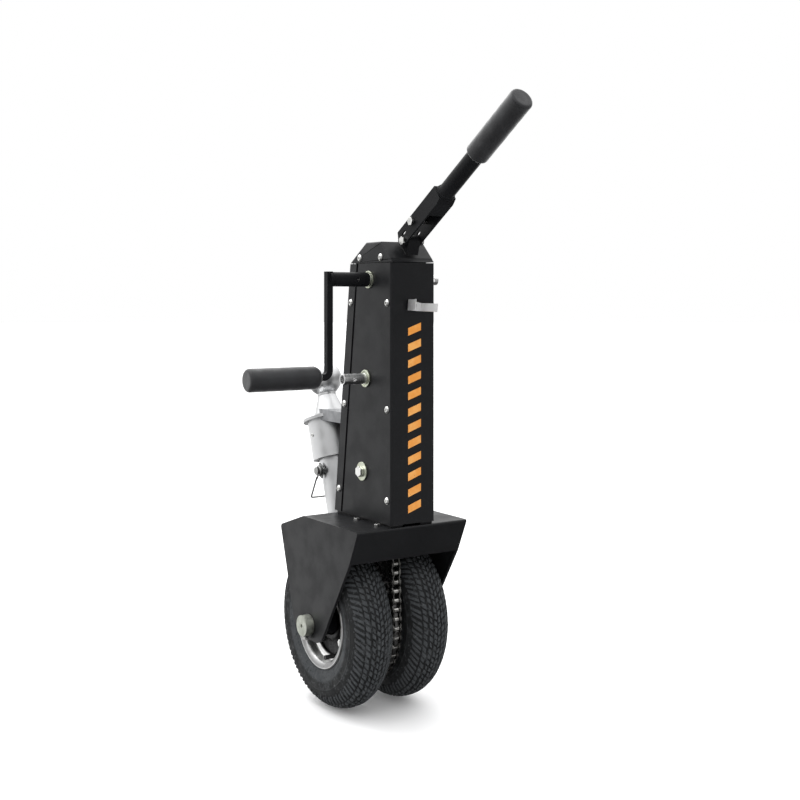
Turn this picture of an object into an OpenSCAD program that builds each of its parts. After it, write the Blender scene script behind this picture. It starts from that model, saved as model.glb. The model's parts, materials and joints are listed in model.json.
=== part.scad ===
// Two-wheel trailer jack dolly: a chain-driven pair of tyres under a folded
// steel fork, a tall gear casing with two crank shafts, a leaning hitch-ball
// post behind it and a folding steering handle on top.
// Millimetres. Origin on the ground under the middle of the axle, +Z up,
// the casing's front face toward -Y, the axle along X.

/* [Wheels] */
// Outside radius of each tyre
tyre_r = 116; // [100:1:135]
// Half the width of the tyre section
tyre_half_w = 31.2; // [26:0.2:34]
// Distance from the middle to each wheel's centre plane
wheel_x = 44.6; // [42:0.1:50]
// Rim flange radius
rim_r = 61; // [56:0.5:66]
// Half the width of the rim over its flanges
rim_half_w = 26; // [24:0.5:28]
// Circle radius of the rim bolts
rim_bolt_r = 37; // [30:1:42]
// Radius of the axle
axle_r = 8; // [6:0.5:10]

/* [Fork] */
// Outside width across the two ears
fork_w = 172; // [164:1:190]
// Height of the top plate
fork_top = 260; // [245:1:275]
// Plate thickness
fork_t = 4; // [3:0.5:5]
// Y of the casing's front face
fork_front = -123; // [-130:1:-115]
// How far the top plate's front edge stands in front of the casing
fork_lip = 2; // [0:0.5:4]
// Y where the top plate turns down into the rear slope
fork_back = 18; // [14:1:20]
// Length of the rear slope along Y
slope_len = 66; // [50:1:80]
// Half the width of the opening for the chain
slot_half = 11; // [9:0.5:13]

/* [Casing] */
// Outside width of the casing
case_w = 68.5; // [65:0.5:70]
// Sheet thickness of the covers
case_t = 2; // [1.5:0.1:2]
// Height of the casing's top edge
case_top = 603; // [600:1:615]
// Radius of the two front corners
case_bend = 3.5; // [3:0.5:12]
// Y of the casing's rear face at the top edge
case_back_top = -20.8; // [-24:0.2:-18]
// How far the rear face moves back per millimetre down
case_rake = 0.124; // [0.1:0.002:0.13]
// Width of the rear cover's side flanges
rear_flange = 16.5; // [12:0.5:20]
// Height of the top cap
cap_h = 33; // [28:1:40]

/* [Drive] */
// Chain pitch
pitch = 12.7; // [12.7:0.1:12.7]
// Teeth on the small sprockets
teeth_small = 12; // [12:4:12]
// Teeth on the two casing reduction sprockets
teeth_mid = 20; // [16:4:20]
// Teeth on the axle sprocket
teeth_axle = 40; // [36:4:40]
// Radius of the crank shafts' turned-down ends
shaft_r = 7; // [6:0.5:7.5]
// Radius of the crank shafts between their ends
journal_r = 7.5; // [7:0.1:8]
// X of the shafts' left ends
shaft_left = -71; // [-75:1:-65]
// X of the upper shaft's right end
upper_right = 73; // [65:1:80]
// X of the lower shaft's right end
lower_right = 65; // [60:1:80]
// Y of the upper shaft
upper_y = -69.5; // [-72:0.5:-66]
// Height of the upper shaft
upper_z = 581.5; // [575:0.5:585]
// Y of the lower shaft
lower_y = -61.5; // [-64:0.5:-58]
// Height of the lower shaft
lower_z = 450; // [445:0.5:455]
// Y of the middle shaft
mid_y = -52.5; // [-55:0.5:-50]
// Height of the middle shaft
mid_z = 325.5; // [320:0.5:330]

/* [Crank] */
// X of the middle of the crank arm
arm_x = -96.4; // [-105:0.1:-90]
// Side of the square crank bar
arm_side = 8.5; // [8:0.5:14]
// Centre radius of the bend at the bar's lower end
arm_bend = 9; // [7:0.5:13]
// Height of the crank's hand grip
crank_z = 454.3; // [430:0.1:470]
// Radius of both foam grips
grip_r = 15; // [13:0.5:17]
// X of the crank grip's outer end
crank_end = -214; // [-240:1:-200]

/* [Jack] */
// Diameter of the hitch ball
ball_d = 50.8; // [47.6:0.1:58.7]
// Y of the ball centre
ball_y = 110.5; // [105:0.5:115]
// Height of the ball centre
ball_z = 438.5; // [430:0.5:450]
// Lean of the jack from the vertical
lean = 18; // [16:0.5:20]
// Outside radius of the lower jack tube
jack_r = 25.4; // [24:0.1:26]
// Wall of the lower jack tube
jack_wall = 3; // [2:0.5:4]
// Travel of the ball post
lift = 45; // [30:1:45]

/* [Steering handle] */
// Y of the fold bolt
fold_y = -119; // [-122:0.5:-116]
// Height of the fold bolt
fold_z = 631.5; // [629:0.5:634]
// Elevation of the handle above the horizontal
handle_up = 33; // [10:1:55]
// Length from the fold bolt to the grip's end
handle_len = 277; // [240:1:320]
// Length of the forked yoke
yoke_len = 95; // [80:1:110]
// Radius of the handle tube
tube_r = 11; // [9:0.5:12]

/* [Hidden] */
$fn = 96;
case_x = case_w / 2;
plate_out = case_x - case_t - 0.1;
plate_in = plate_out - 3;
ear_x = fork_w / 2;
slope_drop = slope_len * tan(lean);
flange_in = 21;
flange_down = 45;
bend_r = 2.5;
ear_foot = 95.5;
cover_gap = 3.3;
roller_r = 3.95;
band_h = 4.9;
seam = 1;
cover_seam = 4.5;
front_screw_y = -113.5;
rear_screw_in = 8.5;
cap_screw_y = [-98, -46];
cap_base = case_top + seam;
brow_z = case_top + 7.5;
cap_top = case_top + cap_h;
jack_foot = (sin(lean) * (ball_y - fork_back) + cos(lean) * (ball_z - fork_top));
pin_s = 134;
bolt_x = 39.2;
spindle_r = 4.5;
function pr(n) = pitch / (2 * sin(180 / n));
function back_at(z) = case_back_top + case_rake * (case_top - z);

/* [Building blocks] */

// Cylinder along X between two X values
module xcyl(r, x0, x1) translate([x0, 0, 0]) rotate([0, 90, 0]) cylinder(r = r, h = x1 - x0);
// Cylinder along X at a Y and Z
module xpin(r, x0, x1, y, z) translate([0, y, z]) xcyl(r, x0, x1);
// Tube along X
module xtube(ro, ri, x0, x1) difference() { xcyl(ro, x0, x1); xcyl(ri, x0 - 1, x1 + 1); }
// Flat shape given as [y, z] points, extruded along X
module side(pts, x0, x1)
  translate([x0, 0, 0]) rotate([90, 0, 90]) linear_extrude(height = x1 - x0) polygon(pts);
// The same thing on the left and on the right
module both() { children(); mirror([1, 0, 0]) children(); }
// Ring with rounded section, axis along X, in the plane X = x0
module xring(rad, r, x0)
  translate([x0, 0, 0]) rotate([0, 90, 0]) rotate_extrude() translate([rad, 0]) circle(r = r, $fn = 48);
// Hex prism along X
module xhex(af, x0, x1) translate([x0, 0, 0]) rotate([0, 90, 0]) cylinder(r = af / sqrt(3), h = x1 - x0, $fn = 6);
// Vertical bolt with head above and nut below, standing on the height z
module stand_bolt(r, z, grip)
  union() {
    translate([0, 0, z]) cylinder(r = r * 1.85, h = 2.6, $fn = 6);
    translate([0, 0, z - grip - 6]) cylinder(r = r, h = grip + 7);
    translate([0, 0, z - grip - 4.8]) cylinder(r = r * 1.85, h = 4.8, $fn = 6);
  }
// Button-head screw along X with its head outside
module side_screw(y, z, x0)
  translate([0, y, z]) union() {
    difference() {
      intersection() {
        xcyl(4.75, -x0 - 2.7, -x0);
        translate([-x0 + 3.2, 0, 0]) sphere(r = 6.3);
      }
      xhex(3, -x0 - 4, -x0 - 1.2);
    }
    xcyl(2, -x0 - 0.8, -x0 + 6);
  }
// Outline of a chain loop round two sprockets, as short straight runs
function loop_pts(y1, z1, r1, y2, z2, r2) =
  let (a = atan2(z2 - z1, y2 - y1),
       b = acos((r1 - r2) / sqrt(pow(y2 - y1, 2) + pow(z2 - z1, 2))),
       n1 = ceil((360 - 2 * b) / 6), n2 = ceil(2 * b / 10))
  concat(
    [for (i = [0 : n1]) let (w = a + b + (360 - 2 * b) * i / n1) [y1 + r1 * cos(w), z1 + r1 * sin(w)]],
    [for (i = [0 : n2]) let (w = a - b + 2 * b * i / n2) [y2 + r2 * cos(w), z2 + r2 * sin(w)]]);
// Points that round the corner b between a and c with radius r
function round_corner(a, b, c, r, n = 6) =
  let (u = (a - b) / norm(a - b), v = (c - b) / norm(c - b), half = acos(u * v) / 2,
       o = b + (u + v) / norm(u + v) * r / sin(half),
       p = b + u * r / tan(half) - o, q = b + v * r / tan(half) - o,
       w = atan2(p[1], p[0]), turn = (atan2(q[1], q[0]) - w + 540) % 360 - 180)
  [for (i = [0 : n]) o + r * [cos(w + turn * i / n), sin(w + turn * i / n)]];
// Direction of a line of points at point i, and the line's outline t thick
function ahead(l, i) = let (d = l[min(i + 1, len(l) - 1)] - l[max(i - 1, 0)]) d / norm(d);
function beside(l, i, t) = l[i] + t * [-ahead(l, i)[1], ahead(l, i)[0]];
function strip(l, t) = concat([for (i = [0 : len(l) - 1]) beside(l, i, t / 2)],
                              [for (i = [len(l) - 1 : -1 : 0]) beside(l, i, -t / 2)]);
// Closed flat band of the loop, g to either side of the pitch line
module loop_band(y1, z1, r1, y2, z2, r2, g, x0, x1)
  difference() {
    side(loop_pts(y1, z1, r1 + g, y2, z2, r2 + g), x0, x1);
    side(loop_pts(y1, z1, r1 - g, y2, z2, r2 - g), x0 - 1, x1 + 1);
  }
// Roller chain: two side bands, and rollers on the straight runs only
module chain_loop(xc, y1, z1, n1, y2, z2, n2, clear1, clear2) {
  r1 = pr(n1); r2 = pr(n2);
  d = sqrt(pow(y2 - y1, 2) + pow(z2 - z1, 2));
  a = atan2(z2 - z1, y2 - y1);
  b = acos((r1 - r2) / d);
  run = sqrt(d * d - pow(r1 - r2, 2));
  union() {
    for (s = [-1, 1])
      loop_band(y1, z1, r1, y2, z2, r2, band_h, xc + min(s * 3.2, s * 4.8), xc + max(s * 3.2, s * 4.8));
    for (s = [-1, 1])
      for (i = [0 : floor((run - clear1 - clear2) / pitch)]) {
        t = (clear1 + (run - clear1 - clear2 - pitch * floor((run - clear1 - clear2) / pitch)) / 2 + i * pitch);
        ca = cos(a + s * b); sa = sin(a + s * b);
        xpin(roller_r, xc - 4, xc + 4,
             y1 + r1 * ca + t * (s > 0 ? sa : -sa),
             z1 + r1 * sa + t * (s > 0 ? -ca : ca));
      }
  }
}
// Sprocket with a hub, centred on X = xc
module sprocket(n, xc, bore, hub_r, hub_x0, hub_x1) {
  tip = pitch * (0.6 + 1 / tan(180 / n)) / 2;
  difference() {
    union() {
      xcyl(tip, xc - 2.5, xc + 2.5);
      xcyl(hub_r, hub_x0, hub_x1);
    }
    for (i = [0 : n - 1])
      rotate([i * 360 / n, 0, 0]) translate([0, pr(n), 0]) xcyl(roller_r + 0.15, xc - 3, xc + 3);
    xcyl(bore, hub_x0 - 1, hub_x1 + 1);
  }
}
// Vertical casing block with two rounded front corners, inset by g
module case_block(g, z0, z1) {
  translate([-case_x + g, fork_front + case_bend, z0]) cube([case_w - 2 * g, 150, z1 - z0]);
  translate([-case_x + case_bend, fork_front + g, z0]) cube([case_w - 2 * case_bend, 60, z1 - z0]);
  for (s = [-1, 1]) translate([s * (case_x - case_bend), fork_front + case_bend, z0]) cylinder(r = case_bend - g, h = z1 - z0);
}
// Local frame of the jack: ball centre at zero, +Z up the leaning axis
module jack_frame() translate([0, ball_y, ball_z]) rotate([-lean, 0, 0]) children();
// Local frame of the handle: fold bolt at zero, +Y along the handle, +Z above it
module handle_frame()
  translate([0, fold_y, fold_z]) rotate([-handle_up, 0, 0]) mirror([0, 1, 0]) children();
// Foam grip body along X with both ends rounded
module foam(r, x0, x1, e0, e1) {
  xcyl(r, x0 + e0, x1 - e1);
  xcyl(r - e0, x0, x0 + e0 + 1);
  xcyl(r - e1, x1 - e1 - 1, x1);
  xring(r - e0, e0, x0 + e0);
  xring(r - e1, e1, x1 - e1);
}

/* [Fork and frame] */

// Folded fork: top plate, front flange, rear slope and two tapered ears
module fork() color([0.07, 0.07, 0.075]) difference() {
  t = fork_t;
  tilt = atan2(flange_in, flange_down);
  ridge = [fork_back, fork_top];
  ridge_in = ridge - t * [tan(lean / 2), 1];
  tail = ridge + [slope_len, -slope_drop];
  edge = [fork_front - fork_lip, fork_top];
  edge_in = edge + t * [tan(45 + tilt / 2), -1];
  lip = edge + [flange_in, -flange_down];
  lip_in = lip + t * [cos(tilt), sin(tilt)];
  back = 4 * [cos(lean), -sin(lean)];
  heel = [38.5, ear_foot];
  toe = [-28.3, ear_foot];
  union() {
    side(concat([ridge, tail - back, tail - back - t * [sin(lean), cos(lean)], ridge_in],
                round_corner(ridge_in, edge_in, lip_in, 0.8), [lip_in, lip],
                round_corner(lip, edge, ridge, bend_r)), -ear_x + t - 0.5, ear_x - t + 0.5);
    both() difference() {
      side(concat([ridge], round_corner(ridge, tail, heel, 5), round_corner(tail, heel, toe, 34, 10),
                  round_corner(heel, toe, lip, 24, 10),
                  [lip], round_corner(lip, edge, ridge, bend_r)), ear_x - t, ear_x);
      xpin(11.05, 60, 100, 0, tyre_r);
    }
  }
  translate([-slot_half, -90, fork_top - 30]) cube([2 * slot_half, 113, 50]);
  for (x = [-bolt_x, bolt_x], y = [-97, -46]) translate([x, y, fork_top - 30]) cylinder(r = 2.7, h = 60);
  for (x = [-20, 20], y = [-104, 2]) translate([x, y, fork_top - 30]) cylinder(r = 3.2, h = 60);
}
// Plate that stiffens the fork under its top
module stiffener() color([0.1, 0.1, 0.1]) difference() {
  translate([-50, -112, fork_top - fork_t - 4.02]) cube([100, 122, 4]);
  translate([-slot_half, -90, fork_top - 30]) cube([2 * slot_half, 113, 50]);
  for (x = [-bolt_x, bolt_x], y = [-97, -46]) translate([x, y, fork_top - 30]) cylinder(r = 2.7, h = 60);
  for (x = [-20, 20], y = [-104, 2]) translate([x, y, fork_top - 30]) cylinder(r = 3.2, h = 60);
}
// Four outer bolts by the casing and four through the bearing plates' feet
module fork_bolts() color([0.75, 0.75, 0.72]) {
  for (x = [-bolt_x, bolt_x], y = [-97, -46]) translate([x, y, 0]) stand_bolt(2.5, fork_top + 0.02, fork_t + 4.06);
  for (x = [-20, 20], y = [-104, 2]) translate([x, y, 0]) stand_bolt(3, fork_top + 3.2, fork_t + 7.25);
}
// Left bearing plate: carries the shafts, stands on a foot bent inward
module bearing_plate_left() color([0.35, 0.36, 0.38]) plate_shape();
module bearing_plate_right() color([0.35, 0.36, 0.38]) mirror([1, 0, 0]) plate_shape();
module plate_shape() difference() {
  pf = fork_front + case_bend + 0.2;
  union() {
    side([[pf, fork_top + 0.1], [pf, 600], [-107, 600], [-101, 618], [-41, 618], [back_at(600) - 9, 600],
          [back_at(fork_top) - 4, fork_top + 0.1]], -plate_out, -plate_in);
    translate([-plate_in - 0.5, pf, fork_top + 0.1]) cube([plate_in - 13.5, 127.8, 3]);
  }
  plate_holes();
}
// Every hole of a bearing plate
module plate_holes() {
  xpin(10.55, -40, -20, upper_y, upper_z);
  xpin(10.55, -40, -20, lower_y, lower_z);
  xpin(4.1, -40, -20, mid_y, mid_z);
  for (z = screw_rows) { xpin(2.05, -40, -20, front_screw_y, z); xpin(2.05, -40, -20, back_at(z) - rear_screw_in, z); }
  for (y = cap_screw_y) xpin(2.05, -40, -20, y, 610.5);
  for (y = [-104, 2]) translate([-20, y, 200]) cylinder(r = 3.2, h = 100);
}
screw_rows = [550.7, 412.3, 294.3];
// Round spacers that hold the two bearing plates apart
module plate_spacers() color([0.6, 0.6, 0.6]) {
  for (p = [[-109, 500], [-109, 350], [-33, 592], [6.5, 303]])
    translate([0, p[0], p[1]]) xtube(5, 2.6, -plate_in + 0.02, plate_in - 0.02);
}

/* [Casing] */

// Front cover: one sheet folded into a channel with soft front corners
module front_cover() color([0.06, 0.06, 0.065]) difference() {
  intersection() {
    difference() {
      case_block(0, fork_top + cover_gap, case_top);
      case_block(case_t, fork_top - 5, case_top + 5);
    }
    side([[-130, 200], [-130, 640], [back_at(640) - rear_flange - cover_seam, 640],
          [back_at(200) - rear_flange - cover_seam, 200]], -60, 60);
  }
  xpin(10.8, -60, 60, upper_y, upper_z);
  xpin(10.8, -60, 60, lower_y, lower_z);
  xpin(4.3, -60, 60, mid_y, mid_z);
  for (z = screw_rows) xpin(2.15, -60, 60, front_screw_y, z);
  translate([0, -130, 547.5]) rotate([-90, 0, 0]) cylinder(r = 2.6, h = 12);
}
// Rear cover: the sloping back with a flange along each side
module rear_cover() color([0.06, 0.06, 0.065]) difference() {
  side([[back_at(fork_top + cover_gap) - rear_flange, fork_top + cover_gap], [back_at(case_top) - rear_flange, case_top],
        [back_at(case_top), case_top], [back_at(fork_top + cover_gap), fork_top + cover_gap]], -case_x, case_x);
  side([[-100, fork_top - 10], [-100, case_top + 10], [back_at(case_top + 10) - case_t, case_top + 10],
        [back_at(fork_top - 10) - case_t, fork_top - 10]], -case_x + case_t, case_x - case_t);
  for (z = screw_rows) xpin(2.15, -60, 60, back_at(z) - rear_screw_in, z);
}
// Button-head screws of both covers, left and right
module cover_screws() color([0.8, 0.8, 0.78]) both() {
  for (z = screw_rows) { side_screw(front_screw_y, z, case_x); side_screw(back_at(z) - rear_screw_in, z, case_x); }
}
// Folded top cap with a sloping front and back
module top_cap() color([0.06, 0.06, 0.065]) difference() {
  fr = fork_front; cb = cap_base; ct = cap_top; rb = case_back_top; t = case_t;
  brow = [fr, brow_z];
  peak = [fr + 24.5, ct];
  crown = [rb - 37.5, ct];
  brow_in = brow + [t, -0.8];
  peak_in = peak + [0.8, -t];
  crown_in = crown - [0.8, t];
  side(concat([[fr, cb]], round_corner([fr, cb], brow, peak, 5), round_corner(brow, peak, crown, 6),
              round_corner(peak, crown, [rb, cb + 1.5], 6), [[rb, cb + 1.5], [rb, cb]]), -case_x, case_x);
  side(concat([[fr + t, cb - 1]], round_corner([fr + t, cb - 1], brow_in, peak_in, 3),
              round_corner(brow_in, peak_in, crown_in, 4), round_corner(peak_in, crown_in, [rb - 3, cb + 1.2], 4),
              [[rb - 3, cb + 1.2], [rb - 3, cb - 1]]), -case_x + t, case_x - t);
  for (y = cap_screw_y) xpin(2.15, -60, 60, y, 610.5);
}
module cap_screws() color([0.8, 0.8, 0.78]) both() for (y = cap_screw_y) side_screw(y, 610.5, case_x);
// Plain slanted blocks on the front face
module front_decal() color([0.85, 0.45, 0.12])
  for (i = [0 : 11]) translate([0, fork_front - 0.3, 277 + i * 21])
    rotate([90, 0, 0]) translate([0, 0, -0.29]) linear_extrude(height = 0.29)
      polygon([[-8, 0], [12, 7], [12, 17], [-8, 10]]);
// Right half of the spring clip's line: [x, distance out from the front face]
clip_base = [0, 0.6];
clip_root = [11.5, 0.6];
clip_belly = [16.2, 12];
clip_waist = [11.3, 22.5];
clip_tip = [17, 31];
clip_half = concat(round_corner(clip_base, clip_root, clip_belly, 3.5, 4),
                   round_corner(clip_root, clip_belly, clip_waist, 7, 5),
                   round_corner(clip_belly, clip_waist, clip_tip, 3, 4), [clip_tip]);
clip_line = concat([for (i = [len(clip_half) - 1 : -1 : 0]) [-clip_half[i][0], -clip_half[i][1]]],
                   [for (p = clip_half) [p[0], -p[1]]]);
// Spring clip that stores a round tool on the front face
module tool_clip() color([0.8, 0.8, 0.8]) translate([0, fork_front - 0.05, 547.5]) rotate([0, 5, 0]) difference() {
  translate([0, 0, -7]) linear_extrude(height = 14) polygon(strip(clip_line, 1.2));
  rotate([90, 0, 0]) cylinder(r = 2.6, h = 20, center = true);
}
module clip_rivet() color([0.7, 0.7, 0.7]) translate([0, fork_front, 547.5]) rotate([90, 0, 0]) union() {
  translate([0, 0, -2.6]) cylinder(r = 2.5, h = 4.6);
  translate([0, 0, 1.3]) cylinder(r = 4.2, h = 1.4);
  translate([0, 0, -4]) cylinder(r = 3.6, h = 1.9);
}
// Lug on the cap's front slope that the handle folds on
module handle_lug() color([0.07, 0.07, 0.075]) difference() {
  k = [0.6928, 0.7211];
  a = [fork_front - 0.05, brow_z + 0.05];
  union() {
    side([[a[0] + 3 * k[0], a[1] + 3 * k[1]], [a[0] + 33 * k[0], a[1] + 33 * k[1]],
          [fold_y + 5.92, fold_z + 4.77], [fold_y - 7.12, fold_z - 2.64]], -8.9, 8.9);
    xpin(7.6, -8.9, 8.9, fold_y, fold_z);
  }
  xpin(4.05, -20, 20, fold_y, fold_z);
}
// Bolt and nut the handle turns on
module fold_bolt() color([0.8, 0.8, 0.78]) translate([0, fold_y, fold_z]) {
  xhex(10, -16.4, -13.6);
  xcyl(4, -13.7, 17.5);
  xhex(10, 13.6, 16.6);
}
// Flanged bushes of the two crank shafts, left and right
module shaft_bushes() color([0.62, 0.66, 0.5]) both() {
  for (p = [[upper_y, upper_z], [lower_y, lower_z]]) translate([0, p[0], p[1]]) difference() {
    union() {
      xcyl(11.6, -case_x - 2.4, -case_x - 0.05);
      xcyl(10.5, -case_x - 0.5, -plate_in + 0.6);
    }
    xcyl(journal_r + 0.05, -60, -10);
    xcyl(9.6, -case_x - 5, -case_x - 1);
  }
}

/* [Drive train] */

// Fixed bolt of the middle shaft
module mid_bolt() color([0.8, 0.8, 0.78]) translate([0, mid_y, mid_z]) {
  xhex(13, -case_x - 7.4, -case_x - 2.1);
  xcyl(4, -case_x - 3, case_x + 9.5);
}
module mid_nut() color([0.8, 0.8, 0.78]) translate([0, mid_y, mid_z]) difference() {
  xhex(13, case_x + 2.1, case_x + 8.6);
  xcyl(4.02, 10, 60);
}
module mid_washers() color([0.62, 0.66, 0.5]) translate([0, mid_y, mid_z]) both() xtube(12.5, 4.2, -case_x - 2.05, -case_x - 0.05);
// Fixed tube the middle hub turns on
module mid_sleeve() color([0.7, 0.7, 0.7]) translate([0, mid_y, mid_z]) xtube(7, 4.05, -plate_in + 0.02, plate_in - 0.02);
module upper_chain() color([0.45, 0.44, 0.42])
  chain_loop(-15, lower_y, lower_z, teeth_mid, upper_y, upper_z, teeth_small, 28, 22);
module middle_chain() color([0.45, 0.44, 0.42])
  chain_loop(15, mid_y, mid_z, teeth_mid, lower_y, lower_z, teeth_small, 28, 22);
module main_chain() color([0.45, 0.44, 0.42])
  chain_loop(0, 0, tyre_r, teeth_axle, mid_y, mid_z, teeth_small, 40, 22);
// Upper crank shaft with a cross hole near each end
module upper_shaft() color([0.72, 0.72, 0.72]) translate([0, upper_y, upper_z]) crank_shaft(upper_right);
module lower_shaft() color([0.72, 0.72, 0.72]) translate([0, lower_y, lower_z]) crank_shaft(lower_right);
module crank_shaft(right) difference() {
  union() {
    xcyl(shaft_r, shaft_left, right);
    xcyl(journal_r, -case_x - 4, case_x + 4);
  }
  xcyl(5.7, shaft_left - 1, shaft_left + 22);
  xcyl(5.7, right - 22, right + 1);
  for (x = [shaft_left + 15, right - 8]) translate([x, 0, 0]) cylinder(r = 2.6, h = 40, center = true);
  for (x = [shaft_left + 15, right - 8]) translate([x, 0, 0]) rotate([90, 0, 0]) cylinder(r = 2.6, h = 40, center = true);
}
module upper_sprocket() color([0.5, 0.5, 0.5]) translate([0, upper_y, upper_z])
  sprocket(teeth_small, -15, journal_r + 0.02, 13, -23, -7);
module lower_driven_sprocket() color([0.5, 0.5, 0.5]) translate([0, lower_y, lower_z])
  sprocket(teeth_mid, -15, journal_r + 0.02, 16, -23, -2);
module lower_driver_sprocket() color([0.5, 0.5, 0.5]) translate([0, lower_y, lower_z])
  sprocket(teeth_small, 15, journal_r + 0.02, 13, 2, 23);
// Tube that carries the middle sprockets
module mid_hub() color([0.65, 0.65, 0.65]) translate([0, mid_y, mid_z]) xtube(11, 7.06, -25, 25);
module mid_driven_sprocket() color([0.5, 0.5, 0.5]) translate([0, mid_y, mid_z])
  sprocket(teeth_mid, 15, 11.02, 17, 9, 22);
module mid_driver_sprocket() color([0.5, 0.5, 0.5]) translate([0, mid_y, mid_z])
  sprocket(teeth_small, 0, 11.02, 16, -14, 6);

/* [Wheels and axle] */

module axle_bushes() color([0.75, 0.65, 0.35]) translate([0, 0, tyre_r]) both() difference() {
  union() { xcyl(14, -ear_x + fork_t + 0.05, -ear_x + fork_t + 2); xcyl(11, -ear_x, -ear_x + fork_t + 0.2); }
  xcyl(axle_r + 0.05, -100, -60);
}
module axle() color([0.7, 0.7, 0.7]) translate([0, 0, tyre_r]) xcyl(axle_r, -95, 95);
module axle_sprocket() color([0.5, 0.5, 0.5]) translate([0, 0, tyre_r]) difference() {
  sprocket(teeth_axle, 0, axle_r + 0.02, 22, -21, 21);
  for (i = [0 : 5]) rotate([i * 60 + 30, 0, 0]) translate([0, 50, 0]) xcyl(14, -3, 3);
}
module axle_spacers() color([0.6, 0.6, 0.6]) translate([0, 0, tyre_r]) both() xtube(11, axle_r + 0.02, -79.6, -66.8);
module axle_collars() color([0.74, 0.74, 0.72]) translate([0, 0, tyre_r]) both() difference() {
  xcyl(14, -ear_x - 12.4, -ear_x - 0.5);
  xcyl(axle_r + 0.02, -ear_x - 9.1, -ear_x);
  xcyl(2.4, -ear_x - 13, -ear_x);
  translate([-ear_x - 6.4, 0, -20]) cylinder(r = 2.55, h = 20);
}
module collar_screws() color([0.8, 0.8, 0.78]) translate([0, 0, tyre_r]) both()
  translate([-ear_x - 6.4, 0, 0]) union() {
    translate([0, 0, -16]) cylinder(r = 2.5, h = 16 - axle_r - 0.1);
    translate([0, 0, -18.2]) cylinder(r = 4.6, h = 4, $fn = 6);
  }
// Wheel hubs with the flange the rims bolt to
module wheel_hubs() color([0.68, 0.68, 0.68]) translate([0, 0, tyre_r]) both() difference() {
  union() {
    xcyl(17, -wheel_x - 22, -wheel_x + 22);
    xcyl(41.4, -wheel_x - 3.95, -wheel_x - 0.05);
  }
  xcyl(axle_r + 0.02, -90, 0);
  for (i = [0 : 3]) rotate([39 + i * 90, 0, 0]) translate([0, rim_bolt_r, 0]) xcyl(3.2, -90, 0);
}
// Pressed steel rim: barrel, two flanges and a bolted disc
module rim_shape() translate([-wheel_x, 0, tyre_r]) difference() {
  union() {
    xtube(53.4, 50.9, -rim_half_w, rim_half_w);
    for (s = [-1, 1]) {
      xtube(rim_r - 1, 51, s > 0 ? rim_half_w - 2 : -rim_half_w, s > 0 ? rim_half_w : -rim_half_w + 2);
      xring(rim_r - 1, 1, s * (rim_half_w - 1));
    }
    xtube(52, 17.2, -7, -4);
  }
  for (i = [0 : 3]) rotate([39 + i * 90, 0, 0]) translate([0, rim_bolt_r, 0]) xcyl(3.2, -30, 10);
  rotate([-104, 0, 0]) translate([0, 46, 0]) xcyl(4.5, -30, 5);
}
module rim_left() color([0.76, 0.76, 0.76]) rim_shape();
module rim_right() color([0.76, 0.76, 0.76]) mirror([1, 0, 0]) rim_shape();
module rim_bolts() color([0.8, 0.8, 0.76]) both() translate([-wheel_x, 0, tyre_r])
  for (i = [0 : 3]) rotate([39 + i * 90, 0, 0]) translate([0, rim_bolt_r, 0]) union() {
    xhex(10, -11.2, -7.02);
    xcyl(3, -12, 5.5);
    xhex(10, 0, 4.5);
  }
module valve_stems() color([0.5, 0.45, 0.3]) both() translate([-wheel_x, 0, tyre_r])
  rotate([-104, 0, 0]) translate([0, 46, 0]) union() { xcyl(4.4, -7.5, 4); xcyl(3, -24, 6); }
// Tyre carcass with its air space open toward the rim
module tyre_shape() translate([-wheel_x, 0, tyre_r]) difference() {
  rm = tyre_r - tyre_half_w;
  union() {
    xring(rm, tyre_half_w, 0);
    xtube(67, 53.5, -rim_half_w + 2.1, rim_half_w - 2.1);
  }
  xcyl(53.5, -40, 40);
  xring(rm, tyre_half_w - 6, 0);
  xtube(63, 50, -17, 17);
}
module tyre_left() color([0.05, 0.05, 0.05]) tyre_shape();
module tyre_right() color([0.05, 0.05, 0.05]) mirror([1, 0, 0]) tyre_shape();

/* [Crank parts] */

// Crank: socket tube, square bar and bent end with a spindle
module crank_arm() color([0.06, 0.06, 0.065]) union() {
  h = arm_side / 2;
  difference() {
    union() {
      translate([0, upper_y, upper_z]) xcyl(9.5, arm_x, -case_x - 4.2);
      translate([arm_x - h, upper_y - h, crank_z + arm_bend]) cube([arm_side, arm_side, upper_z + 10 - crank_z - arm_bend]);
    }
    translate([0, upper_y, upper_z]) xcyl(shaft_r + 0.1, arm_x + h, -20);
    translate([shaft_left + 15, upper_y, upper_z]) rotate([90, 0, 0]) cylinder(r = 2.6, h = 40, center = true);
  }
  translate([arm_x - arm_bend, upper_y, crank_z + arm_bend]) rotate([90, 0, 0]) rotate([0, 0, -90])
    rotate_extrude(angle = 90) translate([arm_bend, 0]) square([arm_side, arm_side], center = true);
  translate([0, upper_y, crank_z]) xcyl(spindle_r, crank_end + 9, arm_x - arm_bend + 0.1);
}
// Foam grip that turns on the spindle
module crank_grip() color([0.05, 0.05, 0.05]) translate([0, upper_y, crank_z]) difference() {
  foam(grip_r, crank_end, arm_x - 13.5, 4, 7);
  xcyl(spindle_r + 0.1, crank_end + 8, 0);
  xcyl(9, crank_end + 5, crank_end + 8.5);
}
// Push-on washer that keeps the grip on the spindle
module grip_washer() color([0.6, 0.6, 0.6]) translate([0, upper_y, crank_z]) xcyl(8, crank_end + 7, crank_end + 8.4);

/* [Jack parts] */

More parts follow.
